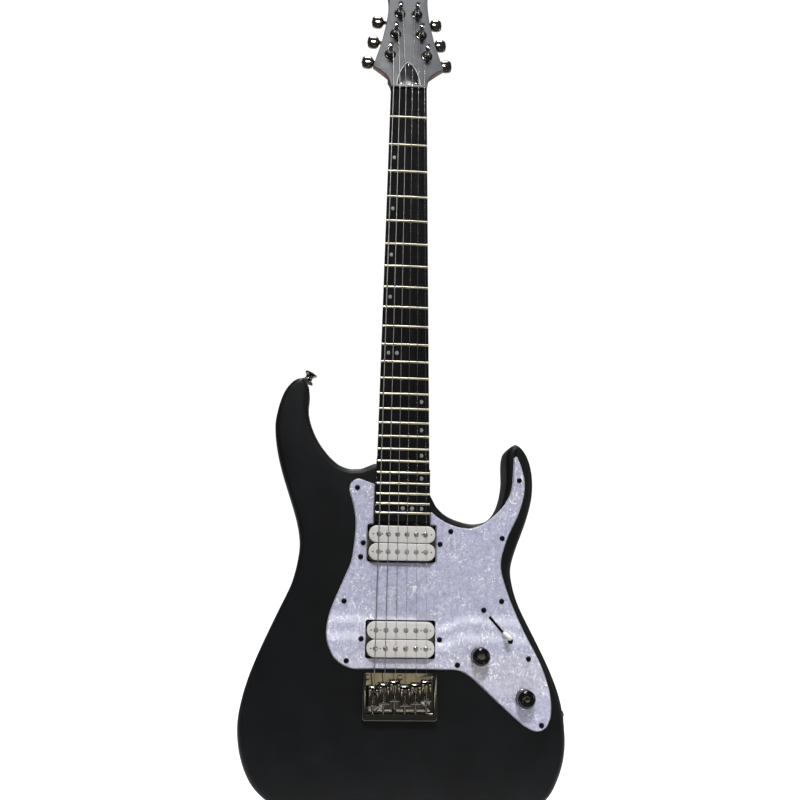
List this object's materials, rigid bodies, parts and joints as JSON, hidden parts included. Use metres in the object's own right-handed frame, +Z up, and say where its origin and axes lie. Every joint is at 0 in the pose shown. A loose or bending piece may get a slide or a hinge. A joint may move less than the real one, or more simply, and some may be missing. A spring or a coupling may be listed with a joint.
{
  "type": "electric guitar",
  "caption": "Solid body electric guitar with a bolt-on neck, two humbucking pickups on a pearl guard, blade switch, knobs, hardtail bridge and angled headstock.",
  "frame": {"origin": "middle of the nut line, in the plane of the fret tops", "axes": "+X to the treble side, +Y from the front to the back, +Z up the neck towards the headstock"},
  "size_m": [0.3333, 0.0657, 0.9814],
  "materials": {
    "body_paint": "satin black lacquer over light hardwood",
    "neck_maple": "satin maple",
    "board_wood": "oiled dark rosewood with bright frets",
    "nut_black": "smooth black graphite plastic",
    "rod_steel": "plain steel",
    "cover_black": "black plastic with a white edge",
    "black_chrome": "polished black chrome",
    "plain_steel": "zinc plated steel",
    "guard_pearl": "white pearl plastic in three plies",
    "shaft_alloy": "turned alloy",
    "knob_nickel": "polished black nickel",
    "tip_white": "white plastic",
    "bobbin_white": "off white moulded plastic",
    "magnet_alloy": "ground cast alloy",
    "nickel_silver": "nickel silver sheet",
    "post_chrome": "polished chrome",
    "string_steel": "nickel wound and plain steel"
  },
  "bodies": {
    "guitar": {"body": "body_paint", "neck": "neck_maple", "fretboard": "board_wood", "nut": "nut_black", "truss_rod": "rod_steel", "truss_rod_cover": "cover_black", "neck_plate": "black_chrome", "pickguard": "guard_pearl", "jack_plate": "black_chrome", "jack_socket": "plain_steel", "strap_button_upper": "black_chrome", "strap_button_lower": "black_chrome", "volume_pot": "plain_steel", "tone_pot": "plain_steel", "switch_frame": "plain_steel", "bridge_plate": "black_chrome", "string_1": "string_steel", "tuner_case_1": "black_chrome", "string_2": "string_steel", "tuner_case_2": "black_chrome", "string_3": "string_steel", "tuner_case_3": "black_chrome", "string_4": "string_steel", "tuner_case_4": "black_chrome", "string_5": "string_steel", "tuner_case_5": "black_chrome", "string_6": "string_steel", "tuner_case_6": "black_chrome"},
    "button_6": {"tuner_button_6": "black_chrome"},
    "post_6": {"tuner_post_6": "post_chrome"},
    "button_5": {"tuner_button_5": "black_chrome"},
    "post_5": {"tuner_post_5": "post_chrome"},
    "button_4": {"tuner_button_4": "black_chrome"},
    "post_4": {"tuner_post_4": "post_chrome"},
    "button_3": {"tuner_button_3": "black_chrome"},
    "post_3": {"tuner_post_3": "post_chrome"},
    "button_2": {"tuner_button_2": "black_chrome"},
    "post_2": {"tuner_post_2": "post_chrome"},
    "button_1": {"tuner_button_1": "black_chrome"},
    "post_1": {"tuner_post_1": "post_chrome"},
    "volume": {"volume_knob": "knob_nickel", "volume_shaft": "shaft_alloy"},
    "tone": {"tone_knob": "knob_nickel", "tone_shaft": "shaft_alloy"},
    "switch": {"switch_lever": "plain_steel", "switch_tip": "tip_white"},
    "saddle_6": {"saddle_6": "black_chrome"},
    "saddle_5": {"saddle_5": "black_chrome"},
    "saddle_4": {"saddle_4": "black_chrome"},
    "saddle_3": {"saddle_3": "black_chrome"},
    "saddle_2": {"saddle_2": "black_chrome"},
    "saddle_1": {"saddle_1": "black_chrome"},
    "neck_pickup": {"neck_pickup_screw_bobbin": "bobbin_white", "neck_pickup_slug_bobbin": "bobbin_white", "neck_pickup_magnet": "magnet_alloy", "neck_pickup_baseplate": "nickel_silver"},
    "bridge_pickup": {"bridge_pickup_screw_bobbin": "bobbin_white", "bridge_pickup_slug_bobbin": "bobbin_white", "bridge_pickup_magnet": "magnet_alloy", "bridge_pickup_baseplate": "nickel_silver"}
  },
  "joints": [
    {"name": "tuner_button_6_turn", "type": "hinge", "parent": "guitar", "child": "button_6", "pos_m": [-0.0215, 0.0391, 0.0531], "axis": [1, 0, 0], "continuous": true},
    {"name": "tuner_post_6_turn", "type": "hinge", "parent": "guitar", "child": "post_6", "pos_m": [-0.0215, 0.01643, 0.05121], "axis": [0, 0.9848, -0.1736], "continuous": true},
    {"name": "tuner_button_5_turn", "type": "hinge", "parent": "guitar", "child": "button_5", "pos_m": [-0.0152, 0.04449, 0.08363], "axis": [1, 0, 0], "continuous": true},
    {"name": "tuner_post_5_turn", "type": "hinge", "parent": "guitar", "child": "post_5", "pos_m": [-0.0152, 0.02181, 0.08174], "axis": [0, 0.9848, -0.1736], "continuous": true},
    {"name": "tuner_button_4_turn", "type": "hinge", "parent": "guitar", "child": "button_4", "pos_m": [-0.0102, 0.04996, 0.11465], "axis": [1, 0, 0], "continuous": true},
    {"name": "tuner_post_4_turn", "type": "hinge", "parent": "guitar", "child": "post_4", "pos_m": [-0.0102, 0.02728, 0.11276], "axis": [0, 0.9848, -0.1736], "continuous": true},
    {"name": "tuner_button_3_turn", "type": "hinge", "parent": "guitar", "child": "button_3", "pos_m": [0.0102, 0.04996, 0.11465], "axis": [1, 0, 0], "continuous": true},
    {"name": "tuner_post_3_turn", "type": "hinge", "parent": "guitar", "child": "post_3", "pos_m": [0.0102, 0.02728, 0.11276], "axis": [0, 0.9848, -0.1736], "continuous": true},
    {"name": "tuner_button_2_turn", "type": "hinge", "parent": "guitar", "child": "button_2", "pos_m": [0.0152, 0.04449, 0.08363], "axis": [1, 0, 0], "continuous": true},
    {"name": "tuner_post_2_turn", "type": "hinge", "parent": "guitar", "child": "post_2", "pos_m": [0.0152, 0.02181, 0.08174], "axis": [0, 0.9848, -0.1736], "continuous": true},
    {"name": "tuner_button_1_turn", "type": "hinge", "parent": "guitar", "child": "button_1", "pos_m": [0.0215, 0.0391, 0.0531], "axis": [1, 0, 0], "continuous": true},
    {"name": "tuner_post_1_turn", "type": "hinge", "parent": "guitar", "child": "post_1", "pos_m": [0.0215, 0.01643, 0.05121], "axis": [0, 0.9848, -0.1736], "continuous": true},
    {"name": "volume_knob_turn", "type": "hinge", "parent": "guitar", "child": "volume", "pos_m": [0.0813, 0.0074, -0.62897], "axis": [0, -1, 0], "range_deg": [0, 280]},
    {"name": "tone_knob_turn", "type": "hinge", "parent": "guitar", "child": "tone", "pos_m": [0.127, 0.0074, -0.66978], "axis": [0, -1, 0], "range_deg": [0, 280]},
    {"name": "pickup_switch_tilt", "type": "hinge", "parent": "guitar", "child": "switch", "pos_m": [0.0995, 0.0254, -0.59847], "axis": [0.7431, 0, 0.6691], "range_deg": [-56, 0]},
    {"name": "saddle_6_intonation", "type": "slide", "parent": "guitar", "child": "saddle_6", "axis": [0, 0, 1], "range_m": [-0.002, 0.004]},
    {"name": "saddle_5_intonation", "type": "slide", "parent": "guitar", "child": "saddle_5", "axis": [0, 0, 1], "range_m": [-0.002, 0.004]},
    {"name": "saddle_4_intonation", "type": "slide", "parent": "guitar", "child": "saddle_4", "axis": [0, 0, 1], "range_m": [-0.002, 0.004]},
    {"name": "saddle_3_intonation", "type": "slide", "parent": "guitar", "child": "saddle_3", "axis": [0, 0, 1], "range_m": [-0.002, 0.004]},
    {"name": "saddle_2_intonation", "type": "slide", "parent": "guitar", "child": "saddle_2", "axis": [0, 0, 1], "range_m": [-0.002, 0.004]},
    {"name": "saddle_1_intonation", "type": "slide", "parent": "guitar", "child": "saddle_1", "axis": [0, 0, 1], "range_m": [-0.002, 0.004]},
    {"name": "neck_pickup_height", "type": "slide", "parent": "guitar", "child": "neck_pickup", "axis": [0, -1, 0], "range_m": [-0.0015, 0.0015]},
    {"name": "bridge_pickup_height", "type": "slide", "parent": "guitar", "child": "bridge_pickup", "axis": [0, -1, 0], "range_m": [-0.0015, 0.0015]}
  ],
  "couplings": [
    {"joint": "tuner_post_6_turn", "follows": "tuner_button_6_turn", "ratio": 0.071429},
    {"joint": "tuner_post_5_turn", "follows": "tuner_button_5_turn", "ratio": 0.071429},
    {"joint": "tuner_post_4_turn", "follows": "tuner_button_4_turn", "ratio": 0.071429},
    {"joint": "tuner_post_3_turn", "follows": "tuner_button_3_turn", "ratio": 0.071429},
    {"joint": "tuner_post_2_turn", "follows": "tuner_button_2_turn", "ratio": 0.071429},
    {"joint": "tuner_post_1_turn", "follows": "tuner_button_1_turn", "ratio": 0.071429}
  ]
}
